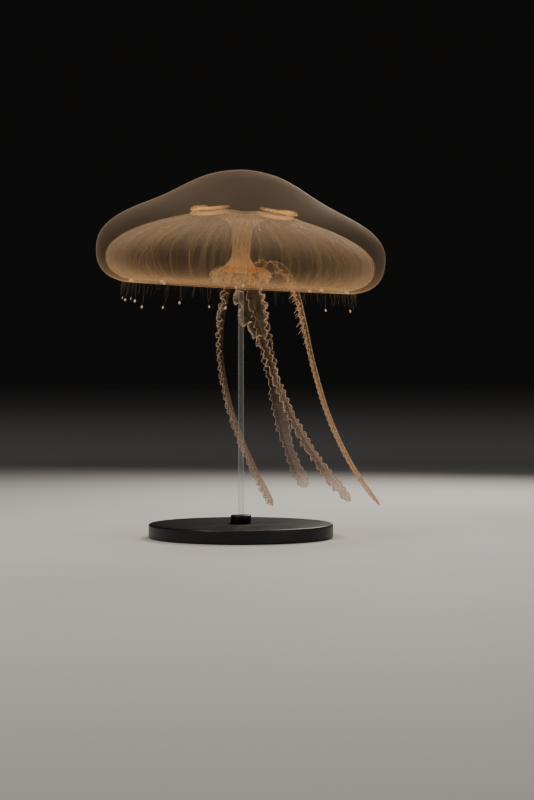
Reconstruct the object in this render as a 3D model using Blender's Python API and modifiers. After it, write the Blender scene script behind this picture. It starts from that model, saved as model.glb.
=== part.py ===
"""Moon jellyfish: a still, life-size model of the whole animal as it swims, on a display stand.

The bell is a turned shell with a thick crown, tilted a little.  Below it curls in as eight margin
lobes, each with a sense club and short tentacles.  In its hollow are four horseshoe gonads and
the mouth stalk, and four long frilled oral arms, each in three lengths, trail from the mouth.
A flat base and one rod hold the animal up.
"""
import math
import random

import bmesh
import bpy
from mathutils import Matrix, Vector

MM = 0.001
GAP = 0.3 * MM                      # left between pieces that touch

# Where the bell sits: the middle of its rim plane, and how it tilts
RIM_CENTRE = Vector((-1.6, 0.0, 214.3)) * MM
ROLL = math.radians(3.1)            # lowers the +X side
PITCH = math.radians(3.3)           # lowers the -Y side
SPIN = math.radians(3.0)            # turns the eight lobes about the bell's own axis

# Bell, heights above the rim plane
BELL_RADIUS = 125.2 * MM
BULGE_HEIGHT = 31.0 * MM            # where the bell is widest
SHOULDER_RISE = 58.0 * MM
SHOULDER_SLOPE = 1.35               # lower: the top slopes away sooner
SHOULDER_ROUND = 2.3                # higher: the shoulder turns down more sharply
CROWN_RISE = 15.0 * MM              # extra rise of the domed middle
CROWN_RADIUS = 58.0 * MM
SHOULDER_LEAN = 1.0 * MM            # the -X shoulder is this much fuller
RIM_RADIUS = 90.0 * MM              # the in-curled lip
SECTIONS = 48

# Hollow under the bell
HOLLOW_RADIUS = 116.0 * MM
HOLLOW_SHELF = 24.0 * MM            # where the hollow is widest
HOLLOW_RISE = 45.0 * MM
LIP_THICKNESS = 2.8 * MM
LIP_LIFT = 1.7 * MM                 # the lip's underside is this far above the rim plane
MARGIN_TOP = 14.0 * MM              # the cut between bell and margin
POUCH_COUNT = 4
POUCH_DISTANCE = 40.0 * MM          # from the axis to each stomach pouch
POUCH_RADIUS = 22.5 * MM
POUCH_RISE = 11.5 * MM

# Margin
LOBES = 8
LOBE_SECTIONS = 6
LOBE_CUT = math.radians(5.0)        # each lobe starts this far before its notch and sense club
NOTCH_DEPTH = 4.0 * MM
NOTCH_HALF_ANGLE = math.radians(6.0)
CLUB_RADIUS = 2.0 * MM
TENTACLES_PER_LOBE = 5
TENTACLE_RADIUS = 0.45 * MM
TENTACLE_BEAD = 2.2                 # bead radius over tentacle radius
TENTACLE_RING = 101.0 * MM
TENTACLE_SHORTEST = 9.0 * MM
TENTACLE_LONGEST = 22.0 * MM

# Gonads
GONAD_LOOP = 14.5 * MM
GONAD_TUBE = 3.0 * MM
GONAD_FLATNESS = 0.55               # height of a gonad over its width
GONAD_SWEEP = math.radians(250.0)
GONAD_CLEARANCE = 3.8 * MM          # between a gonad's top and the pouch's ceiling

# Mouth stalk: radius and height above the rim plane, from the top down
STALK_PROFILE = [(15.0, 66.5), (15.5, 64.0), (11.0, 59.0), (7.8, 52.0), (7.0, 42.0),
                 (7.3, 33.0), (9.2, 26.0), (12.2, 20.5), (12.6, 17.0), (10.5, 15.0)]
STALK_CORNERS = 0.10                # how far its four corners stand out, over the radius
STALK_SECTIONS = 16

# Oral arms: a curve from the mouth to the tip, and the way the open side of the gutter faces.
# "leaf" is the width of each half of the folded ribbon at the mouth, half way and at the tip.
# "open" is the angle between a leaf and the fold's middle plane near the mouth and lower down.
ARMS = {
    "left": dict(root=(-6.0, -2.5, 231.0), leave=(-37.0, -14.0, 154.0),
                 arrive=(0.0, -15.0, 79.0), tip=(27.5, -12.0, 28.0),
                 facing=(-1.0, -0.35, 0.0), leaf=(7.0, 4.5, 7.0), open=(38.0, 30.0)),
    "front": dict(root=(2.0, -6.5, 231.0), leave=(30.0, -30.0, 132.0),
                  arrive=(42.0, -27.0, 90.0), tip=(94.0, -24.0, 33.0),
                  facing=(-0.25, -1.0, 0.0), leaf=(14.0, 3.8, 7.5), open=(60.0, 32.0)),
    "back": dict(root=(3.5, 6.5, 231.0), leave=(27.0, 28.0, 175.0),
                 arrive=(30.0, 32.0, 76.0), tip=(58.0, 27.0, 42.0),
                 facing=(0.2, -1.0, 0.0), leaf=(9.5, 8.0, 6.5), open=(42.0, 45.0)),
    "right": dict(root=(7.0, 1.0, 230.0), leave=(74.0, 5.0, 266.0),
                  arrive=(32.0, 6.0, 132.0), tip=(121.0, 4.0, 27.5),
                  facing=(-1.0, -0.3, -0.2), leaf=(12.0, 5.2, 4.0), open=(26.0, 26.0)),
}
ARM_LENGTHS = ("upper", "middle", "lower")
ARM_ROWS = 16                       # rows of faces along each length
ARM_THICKNESS = 1.4 * MM
GUTTER_CLOSES = 0.18                # how far along the arm the wide mouth end closes up
FRILL_WAVES = 13.0                  # waves along the whole arm
FRILL_AT_MOUTH = 2.0 * MM
FRILL_AT_TIP = 1.0 * MM

# Stand
BASE_RADIUS = 80.0 * MM
BASE_HEIGHT = 12.0 * MM
BASE_CHAMFER = 1.5 * MM
ROD_RADIUS = 2.5 * MM
ROD_TOP = 228.5 * MM
COLLAR_RADIUS = 9.0 * MM
COLLAR_HEIGHT = 7.0 * MM
COLLAR_CHAMFER = 1.2 * MM

AMBER_JELLY = ("bell_jelly", (0.62, 0.43, 0.24), 0.25, 0.0)
MARGIN_JELLY = ("margin_jelly", (0.80, 0.55, 0.28), 0.30, 0.0)
GONAD_FLESH = ("gonad_flesh", (0.95, 0.68, 0.36), 0.45, 0.0)
ARM_FLESH = ("arm_flesh", (0.85, 0.58, 0.36), 0.40, 0.0)
BASE_FINISH = ("base_satin", (0.10, 0.10, 0.11), 0.45, 0.0)
ROD_ACRYLIC = ("rod_acrylic", (0.90, 0.93, 0.94), 0.08, 0.0)


# Helpers

def collection(name):
    """A new collection in the scene."""
    made = bpy.data.collections.new(name)
    bpy.context.scene.collection.children.link(made)
    return made


def material(finish):
    """The Principled material of a finish, made once."""
    name, colour, roughness, metallic = finish
    found = bpy.data.materials.get(name)
    if found:
        return found
    made = bpy.data.materials.new(name)
    made.use_nodes = True
    shader = made.node_tree.nodes["Principled BSDF"]
    shader.inputs["Base Color"].default_value = (*colour, 1.0)
    shader.inputs["Roughness"].default_value = roughness
    shader.inputs["Metallic"].default_value = metallic
    return made


def add_mesh(name, mesh, finish, into, parent=None):
    """An object for a mesh, in a collection, with its material and parent."""
    mesh.name = name
    mesh.materials.clear()
    mesh.materials.append(material(finish))
    made = bpy.data.objects.new(name, mesh)
    into.objects.link(made)
    made.parent = parent
    return made


def evaluated_mesh(source):
    """The mesh that a curve or a modified object makes, welded; the source object is removed."""
    bpy.context.view_layer.update()
    depsgraph = bpy.context.evaluated_depsgraph_get()
    mesh = bpy.data.meshes.new_from_object(source.evaluated_get(depsgraph))
    bpy.data.objects.remove(source)
    tidy = bmesh.new()
    tidy.from_mesh(mesh)
    bmesh.ops.remove_doubles(tidy, verts=tidy.verts, dist=0.01 * MM)
    bmesh.ops.recalc_face_normals(tidy, faces=tidy.faces)
    tidy.to_mesh(mesh)
    tidy.free()
    return mesh


def turned_mesh(name, profile, sections, closed=False, sweep=math.tau):
    """A profile of (radius, height) points turned about the Z axis."""
    mesh = bpy.data.meshes.new(name)
    edges = [(i, i + 1) for i in range(len(profile) - 1)]
    if closed:
        edges.append((len(profile) - 1, 0))
    mesh.from_pydata([(radius, 0.0, height) for radius, height in profile], edges, [])
    blank = bpy.data.objects.new(name, mesh)
    bpy.context.scene.collection.objects.link(blank)
    screw = blank.modifiers.new("Turn", "SCREW")
    screw.angle = sweep
    screw.steps = sections
    screw.render_steps = sections
    screw.use_merge_vertices = True
    screw.merge_threshold = 0.01 * MM
    return evaluated_mesh(blank)


def tube_curve(name, paths, radius, bevel_resolution):
    """A curve object with one open spline for each path of (point, radius factor) pairs."""
    curve = bpy.data.curves.new(name, "CURVE")
    curve.dimensions = "3D"
    curve.bevel_depth = radius
    curve.bevel_resolution = bevel_resolution
    curve.use_fill_caps = True
    for path in paths:
        spline = curve.splines.new("POLY")
        spline.points.add(len(path) - 1)
        for point, (place, factor) in zip(spline.points, path):
            point.co = (*place, 1.0)
            point.radius = factor
    made = bpy.data.objects.new(name, curve)
    bpy.context.scene.collection.objects.link(made)
    return made


def smooth_step(low, high, value):
    """0 below low, 1 above high, and an even S between."""
    t = min(max((value - low) / (high - low), 0.0), 1.0)
    return t * t * (3.0 - 2.0 * t)


# Bell and margin outlines, in the bell's own frame

def dome_height(radius):
    """Outer surface above the bulge: a full shoulder with a raised crown."""
    share = min(radius / BELL_RADIUS, 1.0)
    shoulder = SHOULDER_RISE * (1.0 - share ** SHOULDER_SLOPE) ** (1.0 / SHOULDER_ROUND)
    crown = CROWN_RISE * math.exp(-(radius / CROWN_RADIUS) ** 3.4)
    return BULGE_HEIGHT + shoulder + crown


def hollow_height(radius):
    """Inner surface above the shelf, without the stomach pouches."""
    share = min(radius / HOLLOW_RADIUS, 1.0)
    return HOLLOW_SHELF + HOLLOW_RISE * (1.0 - share ** 1.5) ** 0.5


def pouch_height(x, y):
    """How much a stomach pouch raises the hollow's ceiling at a place."""
    raised = 0.0
    for i in range(POUCH_COUNT):
        angle = SPIN + math.radians(45.0) + i * math.tau / POUCH_COUNT
        away = math.hypot(x - POUCH_DISTANCE * math.cos(angle), y - POUCH_DISTANCE * math.sin(angle))
        raised += POUCH_RISE * math.exp(-(away / POUCH_RADIUS) ** 6)
    return raised


def curl_point(turn, widest, narrowest, top, bottom, power):
    """A point on the in-curled margin; turn runs from 0 at its widest to 90 degrees at its lip."""
    radius = narrowest + (widest - narrowest) * max(math.cos(turn), 0.0) ** (2.0 / power)
    height = bottom + (top - bottom) * (1.0 - math.sin(turn) ** (2.0 / power))
    return radius, height


def outer_curl(turn):
    """Outer side of the margin."""
    return curl_point(turn, BELL_RADIUS, RIM_RADIUS, BULGE_HEIGHT, LIP_LIFT, 2.5)


def inner_curl(turn):
    """Inner side of the margin."""
    return curl_point(turn, HOLLOW_RADIUS, RIM_RADIUS, HOLLOW_SHELF, LIP_LIFT + LIP_THICKNESS, 2.2)


def turn_at(height, top, bottom, power):
    """The turn at which a curl reaches a height."""
    return math.asin((1.0 - (height - bottom) / (top - bottom)) ** (power / 2.0))


def spread(first, last, steps):
    """Evenly spaced values, both ends included."""
    return [first + (last - first) * i / steps for i in range(steps + 1)]


def bell_profile():
    """Crown to bulge, down to the margin cut, back up the inner side and in to the axis."""
    cut = MARGIN_TOP + GAP / 2.0
    outer_turn = turn_at(cut, BULGE_HEIGHT, LIP_LIFT, 2.5)
    inner_turn = turn_at(cut, HOLLOW_SHELF, LIP_LIFT + LIP_THICKNESS, 2.2)
    profile = []
    for a in spread(0.0, math.pi / 2.0, 11):
        radius = BELL_RADIUS * math.sin(a)
        profile.append((radius, dome_height(radius)))
    profile += [outer_curl(t) for t in spread(0.0, outer_turn, 3)[1:]]
    profile += [inner_curl(t) for t in spread(inner_turn, 0.0, 2)]
    for a in spread(math.pi / 2.0, 0.0, 12)[1:]:
        radius = HOLLOW_RADIUS * math.sin(a)
        profile.append((radius, hollow_height(radius)))
    return profile


def margin_profile():
    """Down the outer side to the lip and back up the inner side, as a closed loop."""
    cut = MARGIN_TOP - GAP / 2.0
    outer_turn = turn_at(cut, BULGE_HEIGHT, LIP_LIFT, 2.5)
    inner_turn = turn_at(cut, HOLLOW_SHELF, LIP_LIFT + LIP_THICKNESS, 2.2)
    lip = (RIM_RADIUS - 0.4 * LIP_THICKNESS, LIP_LIFT + LIP_THICKNESS / 2.0)
    outside = [outer_curl(t) for t in spread(outer_turn, math.pi / 2.0, 4)]
    inside = [inner_curl(t) for t in spread(math.pi / 2.0, inner_turn, 3)]
    return outside + [lip] + inside


def lean_shoulders(mesh):
    """Raise the -X shoulder and lower the +X one a little, and press the stomach pouches in."""
    for vertex in mesh.vertices:
        x, y, z = vertex.co
        radius = math.hypot(x, y)
        if z > HOLLOW_SHELF:
            share = radius / BELL_RADIUS
            outer = z > hollow_height(min(radius, HOLLOW_RADIUS)) + 1.0 * MM
            if outer:
                z -= SHOULDER_LEAN * x / BELL_RADIUS * 4.0 * share * max(1.0 - share, 0.0)
            else:
                z += pouch_height(x, y)
        vertex.co = (x, y, z)


# Bell pieces

def make_bell(into, pose):
    """The thick dome, from the crown down to the margin cut."""
    mesh = turned_mesh("bell", bell_profile(), SECTIONS)
    lean_shoulders(mesh)
    return add_mesh("bell", mesh, AMBER_JELLY, into, pose)


def lobe_angle(i):
    """Middle of notch i, where a sense club sits."""
    return SPIN + i * math.tau / LOBES


def notch_share(angle):
    """1 in the middle of a notch and 0 away from it."""
    pitch = math.tau / LOBES
    off = (angle - SPIN + pitch / 2.0) % pitch - pitch / 2.0
    return math.exp(-(off / NOTCH_HALF_ANGLE) ** 2)


def close_ends(mesh):
    """Fill the open ends of a mesh turned through less than a full circle."""
    ends = bmesh.new()
    ends.from_mesh(mesh)
    bmesh.ops.holes_fill(ends, edges=[edge for edge in ends.edges if edge.is_boundary], sides=0)
    bmesh.ops.recalc_face_normals(ends, faces=ends.faces)
    ends.to_mesh(mesh)
    ends.free()


def cut_notches(mesh):
    """Draw the lip back at each of the eight notches."""
    for vertex in mesh.vertices:
        radius = math.hypot(vertex.co.x, vertex.co.y)
        angle = math.atan2(vertex.co.y, vertex.co.x)
        near_lip = 1.0 - smooth_step(RIM_RADIUS, RIM_RADIUS + 4.0 * NOTCH_DEPTH, radius)
        wider = (radius + NOTCH_DEPTH * near_lip * notch_share(angle)) / radius
        vertex.co.x *= wider
        vertex.co.y *= wider


def tentacle_path(angle, length, sway):
    """A short feeler from inside the margin ring down to its bead, bent outward and to one side."""
    outward = Vector((math.cos(angle), math.sin(angle), 0.0))
    sideways = Vector((-math.sin(angle), math.cos(angle), 0.0))
    start = outward * TENTACLE_RING + Vector((0.0, 0.0, LIP_LIFT + 0.75 * LIP_THICKNESS))
    stations = [(0.0, 1.0), (0.45, 1.0), (1.0 - 2.4 * MM / length, 1.0),
                (1.0 - 1.1 * MM / length, TENTACLE_BEAD), (1.0, 1.0)]
    path = []
    for share, factor in stations:
        bend = share * share * length
        place = start + outward * 0.16 * bend + sideways * sway * bend
        place.z -= share * (length + 0.75 * LIP_THICKNESS)
        path.append((place, factor))
    return path


def fringe_mesh(lobe, chance):
    """The tentacles and the sense club of one lobe, each a closed solid."""
    paths = []
    for k in range(TENTACLES_PER_LOBE):
        share = (k + 1.0) / (TENTACLES_PER_LOBE + 1.0)
        angle = lobe_angle(lobe) + share * math.tau / LOBES
        length = TENTACLE_SHORTEST + (TENTACLE_LONGEST - TENTACLE_SHORTEST) * chance.random() ** 1.5
        paths.append(tentacle_path(angle, length, chance.uniform(-0.2, 0.2)))
    mesh = evaluated_mesh(tube_curve("fringe", paths, TENTACLE_RADIUS, 0))
    club = bmesh.new()
    club.from_mesh(mesh)
    angle = lobe_angle(lobe)
    reach = RIM_RADIUS + NOTCH_DEPTH
    height = LIP_LIFT + LIP_THICKNESS / 2.0
    place = Matrix.Translation((reach * math.cos(angle), reach * math.sin(angle), height))
    bmesh.ops.create_uvsphere(club, u_segments=6, v_segments=4, radius=CLUB_RADIUS, matrix=place)
    club.to_mesh(mesh)
    club.free()
    return mesh


def make_lobes(into, cutters, pose):
    """The eight lobes of the margin, with their sense clubs and tentacles joined on."""
    chance = random.Random(12)
    pitch = math.tau / LOBES
    sweep = pitch - GAP / RIM_RADIUS
    for lobe in range(LOBES):
        node = f"bell_lobe_{lobe + 1}"
        mesh = turned_mesh(node, margin_profile(), LOBE_SECTIONS, closed=True, sweep=sweep)
        mesh.transform(Matrix.Rotation(lobe_angle(lobe) - LOBE_CUT, 4, "Z"))
        close_ends(mesh)
        cut_notches(mesh)
        made = add_mesh(node, mesh, MARGIN_JELLY, into, pose)
        fringe = add_mesh(f"fringe_{lobe + 1}", fringe_mesh(lobe, chance), MARGIN_JELLY, cutters, pose)
        hide_cutter(fringe)
        join = made.modifiers.new("Join fringe", "BOOLEAN")
        join.operation = "UNION"
        join.solver = "EXACT"
        join.object = fringe


def hide_cutter(cutter):
    """Keep a cutter out of renders and show it as wires."""
    cutter.hide_render = True
    cutter.display_type = "WIRE"


def gonad_bed(x, y):
    """Height of a gonad's middle at a place, a little below the ceiling of its pouch."""
    drop = GONAD_TUBE * GONAD_FLATNESS + GONAD_CLEARANCE
    return hollow_height(math.hypot(x, y)) + pouch_height(x, y) - drop


def make_gonads(into, pose):
    """Four flattened horseshoes under the stomach pouches, open towards the mouth stalk."""
    for i, name in enumerate(("back_right", "back_left", "front_left", "front_right")):
        axis = SPIN + math.radians(45.0) + i * math.tau / POUCH_COUNT
        middle = Vector((math.cos(axis), math.sin(axis))) * POUCH_DISTANCE
        path = []
        for a in spread(axis - GONAD_SWEEP / 2.0, axis + GONAD_SWEEP / 2.0, 11):
            x = middle.x + GONAD_LOOP * math.cos(a)
            y = middle.y + GONAD_LOOP * math.sin(a)
            path.append((Vector((x, y, gonad_bed(x, y))), 1.0))
        node = "gonad_" + name
        mesh = evaluated_mesh(tube_curve(node, [path], GONAD_TUBE, 1))
        for vertex in mesh.vertices:
            bed = gonad_bed(vertex.co.x, vertex.co.y)
            vertex.co.z = bed + (vertex.co.z - bed) * GONAD_FLATNESS
        add_mesh(node, mesh, GONAD_FLESH, into, pose)


def make_mouth_stalk(into, cutters, pose):
    """The four-cornered stalk that hangs from the middle of the hollow and ends in the mouth."""
    ceiling = hollow_height(0.0) - GAP
    profile = [(0.0, ceiling)] + [(r * MM, h * MM) for r, h in STALK_PROFILE]
    profile.append((0.0, STALK_PROFILE[-1][1] * MM))
    mesh = turned_mesh("mouth_stalk", profile, STALK_SECTIONS)
    for vertex in mesh.vertices:
        angle = math.atan2(vertex.co.y, vertex.co.x)
        wider = 1.0 + STALK_CORNERS * math.cos(4.0 * (angle - SPIN))
        vertex.co.x *= wider
        vertex.co.y *= wider
    add_mesh("mouth_stalk", mesh, ARM_FLESH, into, pose)
    clearance = add_mesh("stalk_clearance", mesh.copy(), ARM_FLESH, cutters, pose)
    hide_cutter(clearance)
    swell = clearance.modifiers.new("Swell", "DISPLACE")
    swell.strength = GAP
    swell.mid_level = 0.0
    return clearance


# Oral arms

def curve_point(arm, t):
    """A point on an arm's centre curve and the direction there."""
    a, b, c, d = (Vector(arm[key]) * MM for key in ("root", "leave", "arrive", "tip"))
    u = 1.0 - t
    place = a * u ** 3 + b * 3.0 * u * u * t + c * 3.0 * u * t * t + d * t ** 3
    along = (b - a) * u * u + (c - b) * 2.0 * u * t + (d - c) * t * t
    return place, along.normalized()


def leaf_width(arm, t):
    """Width of one half of the folded ribbon, narrow at the mouth itself and at the tip."""
    at_mouth, half_way, at_tip = (width * MM for width in arm["leaf"])
    lower = half_way + (at_tip - half_way) * t
    wide = lower + (at_mouth - lower) / (1.0 + (t / GUTTER_CLOSES) ** 6)
    root_taper = 0.45 + 0.55 * smooth_step(0.0, 0.09, t)
    tip_taper = 1.0 - 0.6 * smooth_step(0.95, 1.0, t)
    return wide * root_taper * tip_taper


def ribbon_point(arm, t, side):
    """A point of the folded, frilled ribbon; side is -1 and 1 at its edges and 0 at its keel."""
    place, along = curve_point(arm, t)
    facing = Vector(arm["facing"])
    facing = (facing - along * facing.dot(along)).normalized()
    across = along.cross(facing)
    near_mouth, lower = (math.radians(angle) for angle in arm["open"])
    half_angle = lower + (near_mouth - lower) / (1.0 + (t / GUTTER_CLOSES) ** 6)
    leaf = leaf_width(arm, t)
    out = across * math.sin(half_angle) * side + facing * math.cos(half_angle) * abs(side)
    bend = across * math.cos(half_angle) - facing * math.sin(half_angle) * side
    wave = math.sin(math.tau * FRILL_WAVES * t + 1.3 * side)
    frill = FRILL_AT_MOUTH + (FRILL_AT_TIP - FRILL_AT_MOUTH) * t
    frill *= smooth_step(0.0, 0.06, t) * side * side
    middle = facing * leaf * math.cos(half_angle) / 2.0
    return place - middle + out * leaf + bend * wave * frill


def make_arm_length(name, arm, first, last, into):
    """One length of an arm: a grid bent to the ribbon's shape and thickened."""
    mesh = bpy.data.meshes.new(name)
    grid = bmesh.new()
    bmesh.ops.create_grid(grid, x_segments=2, y_segments=ARM_ROWS, size=1.0)
    for vertex in grid.verts:
        t = first + (last - first) * (vertex.co.y + 1.0) / 2.0
        vertex.co = ribbon_point(arm, t, vertex.co.x)
    grid.to_mesh(mesh)
    grid.free()
    made = add_mesh(name, mesh, ARM_FLESH, into)
    solid = made.modifiers.new("Thickness", "SOLIDIFY")
    solid.thickness = ARM_THICKNESS
    solid.offset = 0.0
    solid.use_even_offset = True
    return made


def part_from_stalk(arm_root, clearance):
    """Trim the root of an arm where it grows from the stalk, with the usual gap."""
    trim = arm_root.modifiers.new("Part from stalk", "BOOLEAN")
    trim.operation = "DIFFERENCE"
    trim.solver = "EXACT"
    trim.object = clearance


def gap_share(arm, t):
    """The gap between two lengths of an arm as a share of its centre curve's t."""
    step = 0.01
    run = curve_point(arm, t + step)[0] - curve_point(arm, t - step)[0]
    return GAP * 2.0 * step / run.length


def make_arms(into, clearance):
    """Four arms, each cut into an upper, a middle and a lower length."""
    for side, arm in ARMS.items():
        for i, part in enumerate(ARM_LENGTHS):
            first = i / 3.0
            last = (i + 1) / 3.0
            if i > 0:
                first += gap_share(arm, first)
            if i < 2:
                last -= gap_share(arm, last)
            length = make_arm_length(f"oral_arm_{side}_{part}", arm, first, last, into)
            if i == 0:
                part_from_stalk(length, clearance)


# Stand

def make_stand(into):
    """A flat round base, a collar on it and the rod up to the mouth."""
    bpy.ops.mesh.primitive_cylinder_add(vertices=48, radius=BASE_RADIUS, depth=BASE_HEIGHT)
    base = bpy.context.object
    base.location.z = BASE_HEIGHT / 2.0
    chamfer = base.modifiers.new("Chamfer", "BEVEL")
    chamfer.width = BASE_CHAMFER
    chamfer.segments = 1
    finish_primitive(base, "stand_base", BASE_FINISH, into)

    bore = ROD_RADIUS + GAP
    low = BASE_HEIGHT + GAP
    high = low + COLLAR_HEIGHT
    profile = [(bore, high), (COLLAR_RADIUS - COLLAR_CHAMFER, high),
               (COLLAR_RADIUS, high - COLLAR_CHAMFER), (COLLAR_RADIUS, low), (bore, low)]
    collar = turned_mesh("stand_collar", profile, 24, closed=True)
    add_mesh("stand_collar", collar, BASE_FINISH, into)

    length = ROD_TOP - low
    bpy.ops.mesh.primitive_cylinder_add(vertices=24, radius=ROD_RADIUS, depth=length)
    rod = bpy.context.object
    rod.location.z = low + length / 2.0
    finish_primitive(rod, "stand_rod", ROD_ACRYLIC, into)


def finish_primitive(made, name, finish, into):
    """Name a primitive, give it its material and move it to its collection."""
    for holder in list(made.users_collection):
        holder.objects.unlink(made)
    into.objects.link(made)
    made.name = name
    made.data.name = name
    made.data.materials.append(material(finish))


# Build

for leftover in list(bpy.data.objects):
    bpy.data.objects.remove(leftover)

parts = collection("moon_jellyfish")
cutters = collection("cutters")
bell_pose = bpy.data.objects.new("bell_pose", None)
bell_pose.location = RIM_CENTRE
bell_pose.rotation_euler = (PITCH, ROLL, 0.0)
parts.objects.link(bell_pose)

make_bell(parts, bell_pose)
make_lobes(parts, cutters, bell_pose)
make_gonads(parts, bell_pose)
stalk_clearance = make_mouth_stalk(parts, cutters, bell_pose)
make_arms(parts, stalk_clearance)
make_stand(parts)
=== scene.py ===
import math
import random

import bmesh
import bpy
import numpy as np
from mathutils import Matrix, Vector


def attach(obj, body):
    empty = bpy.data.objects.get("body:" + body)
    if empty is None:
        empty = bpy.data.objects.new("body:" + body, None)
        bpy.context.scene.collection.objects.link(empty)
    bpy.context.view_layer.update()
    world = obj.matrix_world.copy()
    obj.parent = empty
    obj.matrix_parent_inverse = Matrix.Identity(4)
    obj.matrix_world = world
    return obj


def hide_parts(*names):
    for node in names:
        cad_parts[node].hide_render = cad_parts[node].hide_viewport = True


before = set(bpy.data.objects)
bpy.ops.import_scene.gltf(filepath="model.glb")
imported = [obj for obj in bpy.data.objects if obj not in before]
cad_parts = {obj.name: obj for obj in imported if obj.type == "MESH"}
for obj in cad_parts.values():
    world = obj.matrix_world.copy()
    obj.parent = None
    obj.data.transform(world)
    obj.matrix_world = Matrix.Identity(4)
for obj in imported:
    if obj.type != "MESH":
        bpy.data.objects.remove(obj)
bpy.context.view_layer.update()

MM = 0.001
ROOT = "root"


# --------------------------------------------------
# Bell, margin lobes and mouth stalk: one continuous skin of clear jelly, turned from a profile
# that runs over the crown, round the in-curled margin, up the hollow and down the stalk.  It
# hangs in the water with its +X side a little low, so it is shaped upright and then posed.

RIM_CENTRE = Vector((-1.6, 0.0, 214.3)) * MM
BELL_TILT = Matrix.Rotation(math.radians(3.1), 4, "Y") @ Matrix.Rotation(math.radians(3.3), 4, "X")
BELL_POSE = Matrix.Translation(RIM_CENTRE) @ BELL_TILT
SPIN = math.radians(3.0)

BELL_RADIUS = 125.2 * MM
BULGE_HEIGHT = 31.0 * MM
SHOULDER_RISE = 58.0 * MM
SHOULDER_SLOPE = 1.35
SHOULDER_ROUND = 2.3
CROWN_RISE = 15.0 * MM
CROWN_RADIUS = 58.0 * MM
CROWN_EDGE = 3.4
SHOULDER_LEAN = 1.0 * MM
RIM_RADIUS = 90.0 * MM
HOLLOW_RADIUS = 116.0 * MM
HOLLOW_SHELF = 24.0 * MM
HOLLOW_RISE = 45.0 * MM
HOLLOW_SLOPE = 1.5
OUTER_CURL_POWER = 2.5
INNER_CURL_POWER = 2.2
LIP_THICKNESS = 2.8 * MM
LIP_LIFT = 1.7 * MM
LIP_TOP = LIP_LIFT + LIP_THICKNESS
LIP_MIDDLE = LIP_LIFT + LIP_THICKNESS / 2.0
LIP_REACH = 1.3 * MM
LIP_CORNER_REACH = 0.9 * MM
LIP_CORNER_HEIGHT = 0.35 * MM
POUCHES = [SPIN + math.radians(45.0 + 90.0 * i) for i in range(4)]
POUCH_DISTANCE = 40.0 * MM
POUCH_RADIUS = 22.5 * MM
POUCH_RISE = 11.5 * MM
POUCH_EDGE = 6
POUCH_SHOWS = 0.13
LOBES = 8
NOTCH_DEPTH = 4.0 * MM
NOTCH_HALF_ANGLE = math.radians(6.0)
STALK_TOP = 62.0 * MM
STALK_FOOT = 15.0 * MM
STALK_NECK = 7.0 * MM
STALK_SPREAD = 12.0 * MM
STALK_SPREAD_DEPTH = 4.2 * MM
STALK_CORNERS = 0.10
STALK_FOLDS = 0.035
MOUTH_FLARE = 12.6 * MM
MOUTH_HEIGHT = 18.0 * MM
MOUTH_DEPTH = 6.5 * MM
ROOF_ENDS = 19.5 * MM
BELL_COLUMNS = 384
OUTSIDE, OUTER_CURL, INNER_CURL, ROOF, STALK = range(5)


def dome_height(radius):
    share = np.minimum(radius / BELL_RADIUS, 1.0)
    shoulder = SHOULDER_RISE * (1.0 - share ** SHOULDER_SLOPE) ** (1.0 / SHOULDER_ROUND)
    crown = CROWN_RISE * np.exp(-(radius / CROWN_RADIUS) ** CROWN_EDGE)
    return BULGE_HEIGHT + shoulder + crown


def hollow_height(radius):
    share = np.minimum(radius / HOLLOW_RADIUS, 1.0)
    return HOLLOW_SHELF + HOLLOW_RISE * (1.0 - share ** HOLLOW_SLOPE) ** 0.5


def pouch_height(x, y):
    """How far the four stomach pouches lift the ceiling of the hollow at a place."""
    raised = 0.0
    for angle in POUCHES:
        away = np.hypot(x - POUCH_DISTANCE * math.cos(angle), y - POUCH_DISTANCE * math.sin(angle))
        raised = raised + POUCH_RISE * np.exp(-(away / POUCH_RADIUS) ** POUCH_EDGE)
    return raised


def curl(turn, widest, top, bottom, power):
    """Radius and height round a quarter turn from the widest point to the rim."""
    radius = RIM_RADIUS + (widest - RIM_RADIUS) * np.maximum(np.cos(turn), 0.0) ** (2.0 / power)
    height = bottom + (top - bottom) * (1.0 - np.sin(turn) ** (2.0 / power))
    return np.stack([radius, height], axis=1)


def smooth_step(low, high, value):
    t = np.clip((value - low) / (high - low), 0.0, 1.0)
    return t * t * (3.0 - 2.0 * t)


def stalk_radius(height):
    """Radius of the mouth stalk: it spreads into the ceiling above and flares at the mouth."""
    top = STALK_SPREAD * np.exp(-np.maximum(STALK_TOP - height, 0.0) / STALK_SPREAD_DEPTH)
    mouth = (MOUTH_FLARE - STALK_NECK) * np.exp(-((height - MOUTH_HEIGHT) / MOUTH_DEPTH) ** 2)
    return STALK_NECK + top + mouth


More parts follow.
